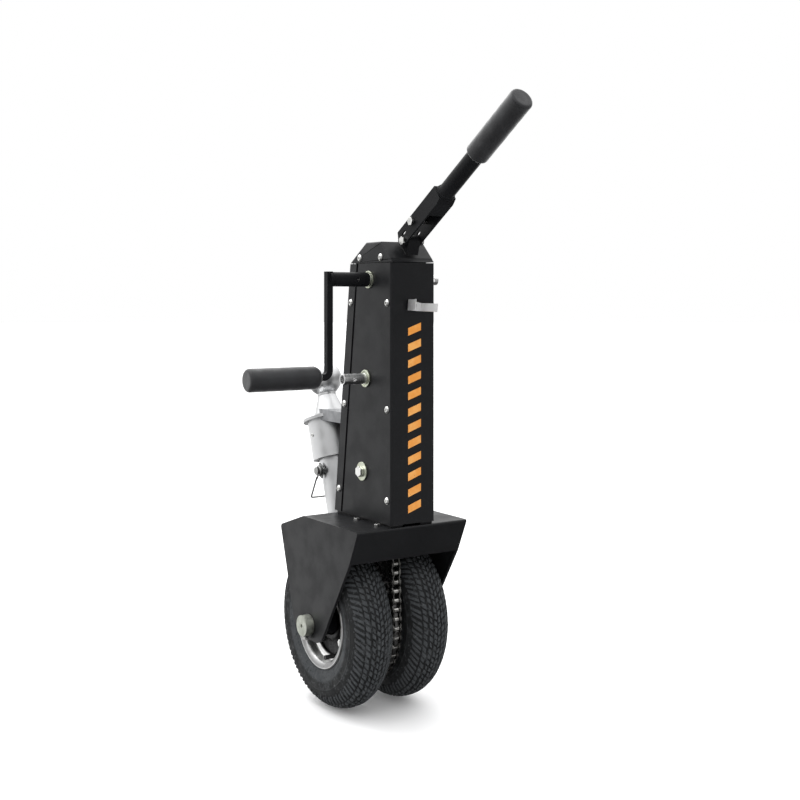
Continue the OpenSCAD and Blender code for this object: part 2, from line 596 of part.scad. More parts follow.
// Lower jack tube standing square on the fork's rear slope
module jack_tube() color([0.75, 0.76, 0.76]) jack_frame() difference() {
  union() {
    translate([0, 0, -jack_foot + 0.05]) cylinder(r = jack_r, h = jack_foot - 57);
    translate([0, 0, -jack_foot + 0.05]) cylinder(r = jack_r + 1.6, h = 2.2);
  }
  translate([0, 0, -jack_foot - 1]) cylinder(r = jack_r - jack_wall, h = jack_foot);
  translate([0, 0, -pin_s]) xcyl(6.1, -40, 40);
}
// Flanged sleeve around the jack tube
module jack_sleeve() color([0.78, 0.79, 0.79]) jack_frame() difference() {
  union() {
    translate([0, 0, -61]) cylinder(r = 40, h = 4);
    translate([0, 0, -117]) cylinder(r = 34, h = 57);
  }
  translate([0, 0, -130]) cylinder(r = jack_r + 0.05, h = 90);
  translate([0, 0, -110]) cylinder(r = 30.5, h = 46);
  translate([0, 0, -120]) cylinder(r = 30.5, h = 5);
  translate([0, 0, -82]) xcyl(2.6, -40, -20);
}
// Box-section bracket from the casing's back to the sleeve
module jack_bracket() color([0.72, 0.73, 0.74]) difference() {
  translate([-28, back_at(383) + 0.15, 383]) cube([56, 85, 15.5]);
  translate([-25, back_at(383) + 3.5, 386]) cube([50, 90, 9.5]);
  jack_frame() {
    translate([0, 0, -62]) cylinder(r = 40.05, h = 6);
    translate([0, 0, -62]) cylinder(r = 34.05, h = 40);
    translate([0, 0, -140]) cylinder(r = 34.05, h = 80);
    translate([-60, 0, -80]) cube([120, 60, 80]);
  }
}
module sleeve_screw() color([0.8, 0.8, 0.78]) jack_frame() translate([0, 0, -82]) difference() {
  xcyl(2.5, -35, -26);
  xhex(2.5, -36, -32);
}
// Hitch ball on a tapered neck and the tube that slides in the jack
module ball_post() color([0.8, 0.8, 0.8]) jack_frame() difference() {
  union() {
    sphere(r = ball_d / 2);
    translate([0, 0, -32]) cylinder(r = 12, h = 32);
    translate([0, 0, -25]) cylinder(r = 13.5, h = 3);
    translate([0, 0, -52]) cylinder(r1 = jack_r - jack_wall - 0.1, r2 = 13, h = 27);
    translate([0, 0, -193]) cylinder(r = jack_r - jack_wall - 0.1, h = 141.1);
  }
  translate([0, 0, -200]) cylinder(r = 18.5, h = 140);
  translate([0, 0, 22]) cylinder(r = 9, h = 10);
  for (z = [-pin_s, -pin_s - lift]) translate([0, 0, z]) xcyl(6.2, -40, 40);
  translate([-40, -6.2, -pin_s - lift]) cube([80, 12.4, lift]);
}
// Lock pin with its square keeper plate
module lock_pin() color([0.72, 0.72, 0.72]) jack_frame() translate([0, 0, -pin_s]) union() {
  xcyl(6, -30, 33);
  xcyl(4.8, -36.5, -29);
  translate([-30.4, 0, 0]) rotate([45, 0, 0]) translate([0, -8, -8]) cube([2, 16, 16]);
  xcyl(5.6, -37.6, -35.4);
}
// Wire bail that swings on the pin's end and reaches behind the tube
module pin_bail() color([0.55, 0.55, 0.55]) jack_frame() translate([0, 0, -pin_s]) union() {
  q = [33.6, -32.2];
  difference() {
    xcyl(7.3, -34.2, -31.8);
    xcyl(5.1, -40, -25);
  }
  rotate([atan2(-q[0], q[1]), 0, 0]) translate([-33, 0, 6.4]) cylinder(r = 1.3, h = norm(q) - 6.4);
  translate([-33, q[0], q[1]]) sphere(r = 1.7);
  translate([0, q[0], q[1]]) xcyl(1.3, -33, 5);
  translate([5, q[0], q[1]]) sphere(r = 1.7);
}

/* [Handle parts] */

// Forked square yoke, open round the lug, closed at the tube end
module yoke() color([0.07, 0.07, 0.075]) handle_frame() difference() {
  union() {
    side([[yoke_len, 17], [yoke_len, -2], [yoke_len - 9, -5], [2, -5], [-6, -6], [-9.5, 0], [-9.5, 7], [-5, 17]], -13, 13);
  }
  translate([-10, -20, -2]) cube([20, yoke_len - 6 + 20, 16]);
  translate([-10, -20, -20]) cube([20, 82, 30]);
  translate([-10, -20, 4]) cube([20, 48, 30]);
  xcyl(4.1, -30, 30);
  translate([0, 3.6, 8]) xcyl(1.9, -30, 30);
  translate([-30, 3.6, 6.1]) cube([60, 5.8, 3.8]);
  translate([0, 9.4, 8]) xcyl(1.9, -30, 30);
  translate([0, 31, 9]) xcyl(3.1, -30, 30);
}
module yoke_bolt() color([0.8, 0.8, 0.78]) handle_frame() translate([0, 31, 9]) {
  xhex(10, -17.2, -13.1);
  xcyl(3, -13.2, 17.6);
  xhex(10, 13.1, 17);
}
// Steel handle tube with a foot ring on the yoke's end plate
module handle_tube() color([0.06, 0.06, 0.065]) handle_frame() translate([0, 0, 6]) rotate([-90, 0, 0]) difference() {
  union() {
    translate([0, 0, yoke_len + 0.05]) cylinder(r = tube_r, h = handle_len - yoke_len - 9);
    translate([0, 0, yoke_len + 0.05]) cylinder(r = tube_r + 1, h = 4);
  }
  translate([0, 0, yoke_len - 1]) cylinder(r = tube_r - 2, h = handle_len);
}
// Foam grip pushed over the handle tube
module handle_grip() color([0.05, 0.05, 0.05]) handle_frame() translate([0, 0, 6]) rotate([0, 0, 90]) difference() {
  foam(grip_r, handle_len - 104, handle_len, 2, 4);
  xcyl(tube_r + 0.05, handle_len - 110, handle_len - 7);
}

/* [Assembly] */

fork();
stiffener();
fork_bolts();
bearing_plate_left();
bearing_plate_right();
plate_spacers();
front_cover();
rear_cover();
cover_screws();
top_cap();
cap_screws();
front_decal();
tool_clip();
clip_rivet();
handle_lug();
fold_bolt();
shaft_bushes();
mid_bolt();
mid_nut();
mid_washers();
mid_sleeve();
upper_chain();
middle_chain();
main_chain();
axle_bushes();
jack_tube();
jack_sleeve();
jack_bracket();
sleeve_screw();
upper_shaft();
upper_sprocket();
lower_shaft();
lower_driven_sprocket();
lower_driver_sprocket();
mid_hub();
mid_driven_sprocket();
mid_driver_sprocket();
axle();
axle_sprocket();
axle_spacers();
axle_collars();
collar_screws();
wheel_hubs();
rim_left();
rim_right();
rim_bolts();
valve_stems();
tyre_left();
tyre_right();
crank_arm();
crank_grip();
grip_washer();
ball_post();
lock_pin();
pin_bail();
yoke();
yoke_bolt();
handle_tube();
handle_grip();
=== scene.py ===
"""Looks of the trailer jack dolly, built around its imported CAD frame.

The frame gives every rigid part. This script adds what the CAD leaves plain: treaded tyres, spun rims,
roller chains, foam grips, the formed cap, the spring clip, the wire bail and the weld beads. It also gives
the finishes and the studio. All meshes are drawn in millimetres and scaled by MM.
"""

import json
import math

import bmesh
import bpy
from mathutils import Euler, Matrix, Vector, noise


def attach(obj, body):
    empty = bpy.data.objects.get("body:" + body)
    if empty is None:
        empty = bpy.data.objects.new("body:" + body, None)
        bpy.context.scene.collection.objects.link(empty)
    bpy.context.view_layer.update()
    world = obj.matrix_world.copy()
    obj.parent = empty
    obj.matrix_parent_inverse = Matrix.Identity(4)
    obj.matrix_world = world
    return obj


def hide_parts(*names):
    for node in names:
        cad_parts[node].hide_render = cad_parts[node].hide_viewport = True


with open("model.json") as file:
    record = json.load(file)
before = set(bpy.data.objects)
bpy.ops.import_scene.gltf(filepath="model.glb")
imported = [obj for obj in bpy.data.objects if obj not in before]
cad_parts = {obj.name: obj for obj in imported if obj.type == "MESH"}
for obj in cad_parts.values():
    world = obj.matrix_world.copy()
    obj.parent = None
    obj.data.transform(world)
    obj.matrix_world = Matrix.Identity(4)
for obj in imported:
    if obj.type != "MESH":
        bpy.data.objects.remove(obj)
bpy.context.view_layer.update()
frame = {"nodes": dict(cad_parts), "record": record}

MM = 0.001

# Driving sizes of the CAD, in millimetres
TYRE_R = 116.0
WHEEL_X = 44.6
PITCH = 12.7
ROLLER_R = 3.95
LEAN = 18.0
BALL = (0.0, 110.5, 438.5)
PIN_DOWN = 134.0
FOLD = (0.0, -119.0, 631.5)
HANDLE_UP = 33.0
HANDLE_LEN = 277.0
YOKE_LEN = 95.0
HANDLE_AXIS = 6.0
CRANK_Y, SHAFT_Z = -69.5, 581.5
GRIP_END_X, GRIP_Z = -214.0, 454.3
CASE_FRONT = -123.0
FORK_TOP = 260.0
EAR_X = 86.0
# Sprocket centres as (y, z)
AXLE, MID, LOWER, UPPER = (0, TYRE_R), (-52.5, 325.5), (-61.5, 450.0), (CRANK_Y, SHAFT_Z)

# Ellipse of the tyre's carcass: centre radius, and half sizes across and up
CARCASS_MID = 84.8
CARCASS_HALF = (30.6, 29.2)

# ---------------------------------------------------------------- studio

FLOOR_TONE = (0.93, 0.93, 0.935)
FLOOR_GLOW = 0.1
FLOOR_DROP = 0.0002
FLOOR_HALF, SURROUND_R = 25.0, 24.0
SUN_POWER, SUN_SPREAD = 0.8, 130
VIEW_AZIMUTH = -33.29
VIEW_EYE = (-869.31, -1415.54, 559.24)
VIEW_LENS = 53.76
VIEW_SHIFT_Y = -0.12955


def make_camera():
    """Level camera with a vertical shift, so upright edges stay upright."""
    data = bpy.data.cameras.new("camera")
    data.lens = VIEW_LENS
    data.sensor_width = 36
    data.shift_y = VIEW_SHIFT_Y
    data.clip_start, data.clip_end = 0.05, 100
    camera = bpy.data.objects.new("camera", data)
    camera.location = Vector(VIEW_EYE) * MM
    camera.rotation_euler = Euler((math.radians(90), 0, math.radians(VIEW_AZIMUTH)))
    bpy.context.scene.collection.objects.link(camera)
    bpy.context.scene.camera = camera


def area_light(name, place, aim, size, power):
    """Rectangular light at a place in metres, turned towards a point."""
    data = bpy.data.lights.new(name, "AREA")
    data.shape = "RECTANGLE"
    data.size, data.size_y = size
    data.energy = power
    light = bpy.data.objects.new(name, data)
    light.location = place
    light.rotation_euler = (Vector(aim) - Vector(place)).to_track_quat("-Z", "Y").to_euler()
    bpy.context.scene.collection.objects.link(light)


def make_world():
    """Empty room that is bright behind the object, dim in front of it and lit from above."""
    world = bpy.data.worlds.new("room")
    bpy.context.scene.world = world
    world.use_nodes = True
    nodes, links = world.node_tree.nodes, world.node_tree.links
    split = nodes.new("ShaderNodeSeparateXYZ")
    links.new(nodes.new("ShaderNodeTexCoord").outputs["Generated"], split.inputs[0])

    def ramp(axis, low, high, to_low, to_high):
        made = nodes.new("ShaderNodeMapRange")
        made.interpolation_type = "SMOOTHSTEP"
        for key, number in (("From Min", low), ("From Max", high), ("To Min", to_low), ("To Max", to_high)):
            made.inputs[key].default_value = number
        links.new(split.outputs[axis], made.inputs["Value"])
        return made.outputs[0]

    def join(kind, a, b):
        made = nodes.new("ShaderNodeMath")
        made.operation = kind
        links.new(a, made.inputs[0])
        links.new(b, made.inputs[1])
        return made.outputs[0]

    depth = ramp("Y", -0.15, 0.65, 0.24, 0.92)
    above = ramp("Z", 0.15, 0.55, 0.0, 1.0)
    near_floor = ramp("Z", -0.2, -0.04, 0.35, 0.0)
    below = ramp("Z", -0.6, -0.28, 0.12, 1.0)
    light = join("ADD", join("ADD", depth, above), near_floor)
    links.new(join("MULTIPLY", light, below), nodes["Background"].inputs["Strength"])
    nodes["Background"].inputs["Color"].default_value = (1, 1, 1, 1)


def make_stage():
    """White floor, and a white surround that only the camera sees."""
    mesh = bpy.data.meshes.new("floor")
    corners = [(-1, -1), (1, -1), (1, 1), (-1, 1)]
    mesh.from_pydata([(x * FLOOR_HALF, y * FLOOR_HALF, -FLOOR_DROP) for x, y in corners], [], [(0, 1, 2, 3)])
    floor = bpy.data.objects.new("floor", mesh)
    mesh.materials.append(floor_material())
    bm = bmesh.new()
    bmesh.ops.create_uvsphere(bm, u_segments=48, v_segments=24, radius=SURROUND_R)
    mesh = bpy.data.meshes.new("surround")
    bm.to_mesh(mesh)
    bm.free()
    surround = bpy.data.objects.new("surround", mesh)
    white = bpy.data.materials.new("surround_white")
    white.use_nodes = True
    white.node_tree.nodes.clear()
    glow = white.node_tree.nodes.new("ShaderNodeEmission")
    out = white.node_tree.nodes.new("ShaderNodeOutputMaterial")
    white.node_tree.links.new(glow.outputs[0], out.inputs["Surface"])
    mesh.materials.append(white)
    for kind in ("diffuse", "glossy", "transmission", "volume_scatter", "shadow"):
        setattr(surround, f"visible_{kind}", False)
    floor.visible_glossy = False
    for piece in (floor, surround):
        bpy.context.scene.collection.objects.link(piece)


def floor_material():
    """Matt white that glows a little, so only contact shadows show."""
    made = bpy.data.materials.new("pale_floor")
    made.use_nodes = True
    shader = made.node_tree.nodes["Principled BSDF"]
    shader.inputs["Base Color"].default_value = (*FLOOR_TONE, 1)
    shader.inputs["Roughness"].default_value = 0.6
    shader.inputs["Specular IOR Level"].default_value = 0.2
    shader.inputs["Emission Color"].default_value = (1, 1, 1, 1)
    shader.inputs["Emission Strength"].default_value = FLOOR_GLOW
    return made


def make_lights():
    """Very soft light from above, and a box light behind that lifts the top faces."""
    sun = bpy.data.lights.new("overhead", "SUN")
    sun.energy = SUN_POWER
    sun.angle = math.radians(SUN_SPREAD)
    overhead = bpy.data.objects.new("overhead", sun)
    overhead.rotation_euler = Euler((math.radians(-14), math.radians(-12), 0))
    bpy.context.scene.collection.objects.link(overhead)
    area_light("top_box", (-0.3, 0.9, 2.2), (0, 0, 0.3), (1.6, 1.2), 20)


# ---------------------------------------------------------------- finishes


class Finish:
    """Builds one procedural material from small node steps, all in object space."""

    def __init__(self, name, colour, metallic=0.0, roughness=0.5, specular=0.5):
        self.material = bpy.data.materials.new(name)
        self.material.use_nodes = True
        self.tree = self.material.node_tree
        self.shader = self.tree.nodes["Principled BSDF"]
        self.colour = (*colour, 1)
        self.shader.inputs["Base Color"].default_value = self.colour
        self.shader.inputs["Metallic"].default_value = metallic
        self.shader.inputs["Roughness"].default_value = roughness
        self.shader.inputs["Specular IOR Level"].default_value = specular
        self.coords = self.tree.nodes.new("ShaderNodeTexCoord").outputs["Object"]
        self.base = None
        self.normal = None

    def node(self, kind, **values):
        made = self.tree.nodes.new(kind)
        for key, value in values.items():
            setattr(made, key, value)
        return made

    def link(self, a, b):
        self.tree.links.new(a, b)

    def grain(self, scale, detail=3.0, stretch=(1, 1, 1)):
        """Noise with a scale in features per metre; stretch squeezes it along an axis."""
        source = self.coords
        if stretch != (1, 1, 1):
            mapping = self.node("ShaderNodeMapping")
            mapping.inputs["Scale"].default_value = stretch
            self.link(source, mapping.inputs["Vector"])
            source = mapping.outputs["Vector"]
        made = self.node("ShaderNodeTexNoise")
        made.inputs["Scale"].default_value = scale
        made.inputs["Detail"].default_value = detail
        self.link(source, made.inputs["Vector"])
        return made.outputs["Fac"]

    def cells(self, scale):
        """Distance to the nearest of many scattered points."""
        made = self.node("ShaderNodeTexVoronoi")
        made.inputs["Scale"].default_value = scale
        self.link(self.coords, made.inputs["Vector"])
        return made.outputs["Distance"]

    def spread(self, value, low, high, to_low, to_high):
        """Smooth step from to_low to to_high as the value goes from low to high."""
        made = self.node("ShaderNodeMapRange", interpolation_type="SMOOTHSTEP")
        for key, number in (("From Min", low), ("From Max", high), ("To Min", to_low), ("To Max", to_high)):
            made.inputs[key].default_value = number
        self.link(value, made.inputs["Value"])
        return made.outputs[0]

    def tint(self, mask, colour):
        """Mixes the base colour towards another where the mask is 1."""
        mix = self.node("ShaderNodeMix", data_type="RGBA")
        if self.base is None:
            mix.inputs["A"].default_value = self.colour
        else:
            self.link(self.base, mix.inputs["A"])
        mix.inputs["B"].default_value = (*colour, 1)
        self.link(mask, mix.inputs["Factor"])
        self.base = mix.outputs["Result"]
        self.link(self.base, self.shader.inputs["Base Color"])

    def roughen(self, value, low, high, to_low, to_high):
        self.link(self.spread(value, low, high, to_low, to_high), self.shader.inputs["Roughness"])

    def bump(self, height, distance, strength=1.0):
        """Adds one layer of relief; distance is its depth in millimetres."""
        made = self.node("ShaderNodeBump")
        made.inputs["Strength"].default_value = strength
        made.inputs["Distance"].default_value = distance * MM
        self.link(height, made.inputs["Height"])
        if self.normal is not None:
            self.link(self.normal, made.inputs["Normal"])
        self.normal = made.outputs["Normal"]
        self.link(self.normal, self.shader.inputs["Normal"])

    def edges(self, radius):
        """1 on the object's sharp edges, 0 on its faces."""
        bevel = self.node("ShaderNodeBevel", samples=4)
        bevel.inputs["Radius"].default_value = radius * MM
        flat = self.node("ShaderNodeNewGeometry")
        dot = self.node("ShaderNodeVectorMath", operation="DOT_PRODUCT")
        self.link(bevel.outputs["Normal"], dot.inputs[0])
        self.link(flat.outputs["Normal"], dot.inputs[1])
        return self.spread(dot.outputs["Value"], 0.985, 0.9, 0, 1)

    def both(self, a, b):
        """Product of two masks."""
        made = self.node("ShaderNodeMath", operation="MULTIPLY")
        self.link(a, made.inputs[0])
        self.link(b, made.inputs[1])
        return made.outputs[0]

    def sums(self, *terms):
        """Square root of the sum of (value / size) squared over the (value, size) terms."""
        total = None
        for value, size in terms:
            part = self.node("ShaderNodeMath", operation="DIVIDE")
            self.link(value, part.inputs[0])
            part.inputs[1].default_value = size
            square = self.both(part.outputs[0], part.outputs[0])
            if total is None:
                total = square
                continue
            add = self.node("ShaderNodeMath", operation="ADD")
            self.link(total, add.inputs[0])
            self.link(square, add.inputs[1])
            total = add.outputs[0]
        root = self.node("ShaderNodeMath", operation="SQRT")
        self.link(total, root.inputs[0])
        return root.outputs[0]

    def less(self, value, amount):
        made = self.node("ShaderNodeMath", operation="SUBTRACT")
        self.link(value, made.inputs[0])
        made.inputs[1].default_value = amount
        return made.outputs[0]

    def from_axle(self):
        """Distance from the wheels' axis, in metres."""
        self.split = self.node("ShaderNodeSeparateXYZ")
        self.link(self.coords, self.split.inputs[0])
        height = self.less(self.split.outputs["Z"], TYRE_R * MM)
        return self.sums((self.split.outputs["Y"], 1), (height, 1))

    def on_section(self):
        """1 on the tyre's carcass and more on its tread."""
        radius = self.from_axle()
        off = self.node("ShaderNodeMath", operation="ABSOLUTE")
        self.link(self.split.outputs["X"], off.inputs[0])
        across = self.less(off.outputs[0], WHEEL_X * MM)
        up = self.less(radius, CARCASS_MID * MM)
        return self.sums((across, CARCASS_HALF[0] * MM), (up, CARCASS_HALF[1] * MM))


def black_coat(name="black_coat", tone=1.0, specular=0.22):
    """Satin powder coat: fine orange peel, faint dust, and lighter edges that are partly rubbed wear and
    partly painted highlight; a tone below 1 gives the darker copy used as painted shade.
    """
    f = Finish(name, (0.0066 * tone, 0.0069 * tone, 0.0079 * tone), roughness=0.42, specular=specular)
    f.tint(f.spread(f.grain(9, 4), 0.4, 0.75, 0, 0.7), (0.0095 * tone, 0.0099 * tone, 0.0112 * tone))
    f.tint(f.spread(f.grain(900, 2), 0.62, 0.72, 0, 0.5), (0.026 * tone, 0.027 * tone, 0.029 * tone))
    # Lighter colour on the sharp edges: partly rubbed wear, partly painted highlight.
    f.tint(f.both(f.edges(0.6), f.spread(f.grain(45, 5), 0.42, 0.62, 0, 0.6)), (0.06, 0.062, 0.066))
    f.roughen(f.grain(38, 5), 0.3, 0.7, 0.36, 0.5)
    f.bump(f.grain(620, 2), 0.045)
    f.bump(f.grain(1500, 2), 0.02)
    return f.material


def plated(name, colour, roughness, grain=240, depth=0.012, dull=(0.4, 0.4, 0.39)):
    """Zinc plate: bright metal with a soft uneven bloom."""
    f = Finish(name, colour, metallic=1.0, roughness=roughness)
    f.tint(f.spread(f.grain(75, 5), 0.46, 0.74, 0, 0.7), dull)
    f.roughen(f.grain(130, 4), 0.3, 0.7, roughness * 0.7, roughness * 1.45)
    f.bump(f.grain(grain, 4), depth)
    return f.material


def rolled_rim():
    """Bright zinc on the lip and barrel, a duller flange, and the dish painted near black as shade."""
    f = Finish("rim_steel", (0.68, 0.68, 0.675), metallic=1.0, roughness=0.3)
    f.tint(f.spread(f.grain(75, 5), 0.46, 0.74, 0, 0.7), (0.5, 0.5, 0.49))
    radius = f.from_axle()
    inside_lip = f.spread(radius, 0.0602, 0.059, 0, 1)
    outside_barrel = f.spread(radius, 0.0515, 0.0545, 0, 0.75)
    f.tint(f.both(inside_lip, outside_barrel), (0.2, 0.2, 0.2))
    # Painted shade: the dish inside the barrel goes near black, as if shadowed by the fork's ear.
    f.tint(f.spread(radius, 0.0472, 0.0448, 0, 1), (0.018, 0.018, 0.019))
    f.roughen(f.grain(130, 4), 0.3, 0.7, 0.26, 0.44)
    f.bump(f.grain(130, 4), 0.015)
    return f.material


def turned(name, colour, roughness, axis, dull):
    """Drawn or turned metal with fine lines across one axis."""
    stretch = tuple(60 if i == axis else 1 for i in range(3))
    f = Finish(name, colour, metallic=1.0, roughness=roughness)
    lines = f.grain(26, 3, stretch)
    f.tint(f.spread(f.grain(28, 5), 0.45, 0.78, 0, 0.75), dull)
    f.roughen(lines, 0.3, 0.7, roughness * 0.75, roughness * 1.4)
    f.bump(lines, 0.01)
    f.bump(f.grain(420, 3), 0.006)
    return f.material


def cast_alloy():
    """Zinc-plated jack parts: pale satin metal with soft casting relief, stains and a painted highlight along
    the edges.
    """
    f = Finish("jack_alloy", (0.66, 0.665, 0.67), metallic=1.0, roughness=0.36)
    f.tint(f.spread(f.grain(22, 6), 0.48, 0.72, 0, 0.6), (0.48, 0.485, 0.49))
    # Painted highlight: lighter colour along the sharp edges.
    f.tint(f.both(f.edges(0.8), f.spread(f.grain(60, 4), 0.4, 0.6, 0.2, 0.8)), (0.88, 0.88, 0.88))
    f.roughen(f.grain(70, 5), 0.3, 0.7, 0.3, 0.44)
    f.bump(f.grain(150, 5), 0.018)
    f.bump(f.grain(900, 2), 0.008)
    return f.material


def brushed_strip():
    """Spring strip: bright but scattering, with fine lines along the bend."""
    f = Finish("spring_steel", (0.8, 0.8, 0.8), metallic=0.78, roughness=0.4)
    lines = f.grain(30, 3, (1, 1, 40))
    f.tint(f.spread(f.grain(60, 5), 0.45, 0.75, 0, 0.7), (0.55, 0.55, 0.55))
    f.roughen(lines, 0.3, 0.7, 0.3, 0.5)
    f.bump(lines, 0.012)
    return f.material


def oiled_steel(name, colour, roughness, oil=0.9, edge_wear_and_highlight=(0.6, 0.59, 0.57)):
    """Dark steel under old oil, with grease in the low places and lighter edges that are partly worn metal
    and partly painted highlight.
    """
    f = Finish(name, colour, metallic=1.0, roughness=roughness)
    f.tint(f.spread(f.grain(130, 5), 0.5, 0.66, 0, oil), (0.035, 0.032, 0.028))
    # Lighter edges: partly worn metal, partly painted highlight.
    f.tint(f.both(f.edges(0.4), f.spread(f.grain(90, 3), 0.4, 0.6, 0.3, 0.95)), edge_wear_and_highlight)
    f.roughen(f.grain(210, 4), 0.3, 0.7, roughness * 0.7, roughness * 1.5)
    f.bump(f.grain(500, 3), 0.02)
    return f.material


def tyre_rubber():
    """Charcoal rubber: lighter dusty tread tops over grooves kept dark as painted shade, and a smooth
    speckled sidewall.
    """
    f = Finish("tyre_rubber", (0.0115, 0.0122, 0.0128), roughness=0.68, specular=0.22)
    f.tint(f.spread(f.grain(32, 6), 0.42, 0.72, 0, 0.7), (0.0165, 0.0175, 0.0185))
    # Lighter on the raised tread, as dust; the carcass between the blocks stays darker as painted shade in
    # the grooves.
    f.tint(f.spread(f.on_section(), 1.004, 1.03, 0, 1), (0.042, 0.0455, 0.0485))
    f.tint(f.spread(f.grain(60, 6), 0.56, 0.74, 0, 0.5), (0.06, 0.064, 0.067))
    f.tint(f.spread(f.grain(300, 4), 0.58, 0.68, 0, 0.55), (0.078, 0.082, 0.085))
    f.tint(f.spread(f.grain(330, 4), 0.42, 0.34, 0, 0.7), (0.012, 0.013, 0.0135))
    f.roughen(f.grain(55, 5), 0.3, 0.7, 0.55, 0.82)
    f.bump(f.grain(260, 4), 0.22)
    f.bump(f.grain(1300, 2), 0.05)
    return f.material


def grip_foam():
    """Closed-cell foam rubber: soft bloom over a fine open texture."""
    f = Finish("grip_foam", (0.0095, 0.0098, 0.0115), roughness=0.52, specular=0.5)
    f.shader.inputs["Sheen Weight"].default_value = 0.9
    f.shader.inputs["Sheen Roughness"].default_value = 0.3
    f.tint(f.spread(f.grain(60, 5), 0.42, 0.72, 0, 0.7), (0.015, 0.016, 0.0185))
    f.roughen(f.grain(80, 4), 0.3, 0.7, 0.44, 0.6)
    f.bump(f.cells(1050), 0.07, 0.7)
    f.bump(f.grain(520, 3), 0.08)
    return f.material


def stem_rubber():
    """Matt rubber of the valve stems with pale dust."""
    f = Finish("stem_rubber", (0.02, 0.02, 0.021), roughness=0.6)
    f.tint(f.spread(f.grain(180, 4), 0.5, 0.7, 0, 0.6), (0.06, 0.06, 0.058))
    f.bump(f.grain(700, 3), 0.04)
    return f.material


def decal_film():
    """Copper-orange film with tiny chips and a soft gloss."""
    f = Finish("decal", (0.66, 0.25, 0.032), roughness=0.38)
    f.tint(f.spread(f.grain(70, 4), 0.4, 0.7, 0, 0.6), (0.72, 0.37, 0.1))
    f.tint(f.spread(f.grain(260, 5), 0.68, 0.71, 0, 0.8), (0.05, 0.04, 0.035))
    f.roughen(f.grain(90, 4), 0.3, 0.7, 0.3, 0.5)
    f.bump(f.grain(800, 2), 0.015)
    return f.material


MATERIALS = {
    "black_coat": black_coat(),
    # Darker, less glossy copy of the black coat: painted shade for parts that should read darker than the lit
    # coat
    "shade_darkened_black": black_coat("shade_darkened_black", 0.8, 0.1),
    "bracket_zinc": plated("bracket_zinc", (0.32, 0.325, 0.335), 0.46, 160, 0.015, (0.29, 0.29, 0.3)),
    "satin_collar": plated("satin_collar", (0.52, 0.54, 0.48), 0.5, dull=(0.36, 0.37, 0.34)),
    "zinc_fastener": plated("zinc_fastener", (0.8, 0.8, 0.78), 0.26),
    "olive_zinc": plated("olive_zinc", (0.6, 0.63, 0.52), 0.36, dull=(0.4, 0.4, 0.3)),
    "plain_steel": plated("plain_steel", (0.4, 0.405, 0.4), 0.42, dull=(0.24, 0.235, 0.22)),
    "shaft_steel": turned("shaft_steel", (0.84, 0.84, 0.84), 0.34, 0, (0.62, 0.62, 0.62)),
    "chain_steel": oiled_steel("chain_steel", (0.13, 0.128, 0.122), 0.34),
    # Lighter, glossier copy of the chain steel for the rollers: painted highlight
    "highlit_roller_steel": oiled_steel("highlit_roller_steel", (0.5, 0.49, 0.47), 0.22, 0.5, (0.8, 0.8, 0.78)),
    "sprocket_steel": oiled_steel("sprocket_steel", (0.16, 0.158, 0.155), 0.4),
    "rim_steel": rolled_rim(),
    "jack_alloy": cast_alloy(),
    "spring_steel": brushed_strip(),
    "bush_brass": turned("bush_brass", (0.66, 0.5, 0.22), 0.3, 0, (0.4, 0.3, 0.13)),
    "stem_rubber": stem_rubber(),
    "tyre_rubber": tyre_rubber(),
    "grip_foam": grip_foam(),
    "decal": decal_film(),
}


# Nodes whose finish differs a little from the rest of their material slot; the darker copy of the black coat
# on the crank, yoke, handle and hubs is painted shade
OWN_LOOK = {
    "crank_arm": "shade_darkened_black", "yoke": "shade_darkened_black", "handle_tube": "shade_darkened_black", "handle_lug": "shade_darkened_black",
    "axle_collars": "satin_collar", "wheel_hubs": "shade_darkened_black", "jack_bracket": "bracket_zinc",
}


def dress_cad_nodes():
    """Gives every CAD node the finish of its material slot in the record."""
    for row in frame["record"]["subparts"]:
        name = row["node"]
        for place in frame["nodes"][name].material_slots:
            place.material = MATERIALS[OWN_LOOK.get(name, row["material_slot"])]


# Edge radius of the rigid CAD parts, in millimetres
EDGE_RADII = {
    "fork": 1.2, "stiffener": 0.5, "front_cover": 0.45, "rear_cover": 0.9, "crank_arm": 1.1,
    "yoke": 1.7, "handle_lug": 1.2, "jack_bracket": 1.1, "jack_sleeve": 0.8, "jack_tube": 0.5,
    "lock_pin": 0.5, "axle": 0.9, "axle_collars": 1.6, "upper_shaft": 0.4, "lower_shaft": 0.4,
    "shaft_bushes": 0.35, "mid_bolt": 0.5, "mid_nut": 0.5, "mid_washers": 0.3, "fold_bolt": 0.45,
    "yoke_bolt": 0.45, "fork_bolts": 0.4, "rim_bolts": 0.4, "handle_tube": 0.5, "wheel_hubs": 0.3,
    "bearing_plate_left": 0.4, "bearing_plate_right": 0.4, "axle_sprocket": 0.35, "cover_screws": 0.2,
    "cap_screws": 0.2,
}


def soften_edges():
    """Rounds the sharp edges of CAD parts with modifiers; their meshes stay as they are."""
    for name, radius in EDGE_RADII.items():
        piece = frame["nodes"][name]
        weld = piece.modifiers.new("weld", "WELD")
        weld.merge_threshold = 0.01 * MM
        flat = piece.modifiers.new("flat", "DECIMATE")
        flat.decimate_type = "DISSOLVE"
        flat.angle_limit = math.radians(0.4)
        bevel = piece.modifiers.new("bevel", "BEVEL")
        bevel.width = radius * MM
        bevel.segments = 3
        bevel.limit_method = "ANGLE"
        bevel.angle_limit = math.radians(32)
        bevel.use_clamp_overlap = True
        even = piece.modifiers.new("even", "WEIGHTED_NORMAL")
        even.keep_sharp = False
        even.weight = 60


# ---------------------------------------------------------------- mesh building


